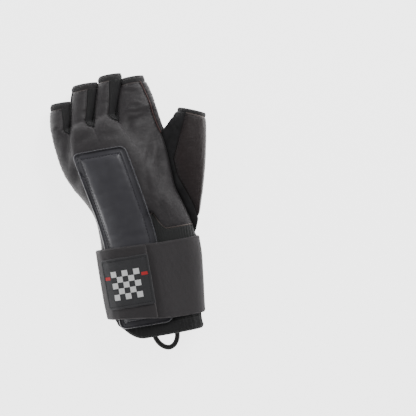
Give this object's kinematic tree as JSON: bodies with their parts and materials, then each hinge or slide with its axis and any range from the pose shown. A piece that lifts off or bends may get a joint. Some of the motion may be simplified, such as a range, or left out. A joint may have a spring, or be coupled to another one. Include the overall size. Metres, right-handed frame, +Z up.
{
  "type": "wrist guard glove",
  "caption": "Fingerless left-hand wrist guard glove with a padded back splint, a bulging palm skid plate, a wide elastic wrist strap and a cord pull loop.",
  "frame": {"origin": "middle of the skid plate's flat lowest face, which rests on the floor", "axes": "+Y towards the fingers, +X towards the thumb, +Z up through the back of the hand"},
  "size_m": [0.1456, 0.266, 0.0491],
  "materials": {
    "back_leather": "smooth charcoal full-grain leather, semi-matt",
    "palm_leather": "smooth charcoal full-grain leather, semi-matt",
    "palm_suede": "black suede, matt",
    "thumb_leather": "smooth charcoal full-grain leather, semi-matt",
    "thumb_suede": "black suede, matt",
    "fourchette_little_ring": "black stretch knit, matt",
    "fourchette_ring_middle": "black stretch knit, matt",
    "fourchette_middle_index": "black stretch knit, matt",
    "hem_little": "black knit binding, matt",
    "hem_ring": "black knit binding, matt",
    "hem_middle": "black knit binding, matt",
    "hem_index": "black knit binding, matt",
    "hem_thumb": "black knit binding, matt",
    "wrist_cuff": "black padded knit, matt",
    "wrist_elastic": "black ribbed elastic, matt",
    "back_splint_pad": "soft blue-grey coated cover, satin",
    "palm_splint_pocket": "soft grey coated cover, satin",
    "skid_plate": "polished black plastic",
    "wrist_strap": "charcoal woven elastic, matt",
    "strap_tab": "dark woven label with a plain white and red pattern",
    "pull_loop": "black braided cord, matt"
  },
  "bodies": {
    "root": {"back_leather": "back_leather", "palm_leather": "palm_leather", "palm_suede": "palm_suede", "thumb_leather": "thumb_leather", "thumb_suede": "thumb_suede", "fourchette_little_ring": "fourchette_little_ring", "fourchette_ring_middle": "fourchette_ring_middle", "fourchette_middle_index": "fourchette_middle_index", "hem_little": "hem_little", "hem_ring": "hem_ring", "hem_middle": "hem_middle", "hem_index": "hem_index", "hem_thumb": "hem_thumb", "wrist_cuff": "wrist_cuff", "wrist_elastic": "wrist_elastic", "back_splint_pad": "back_splint_pad", "palm_splint_pocket": "palm_splint_pocket", "skid_plate": "skid_plate", "wrist_strap": "wrist_strap", "strap_tab": "strap_tab", "pull_loop": "pull_loop"}
  },
  "joints": []
}
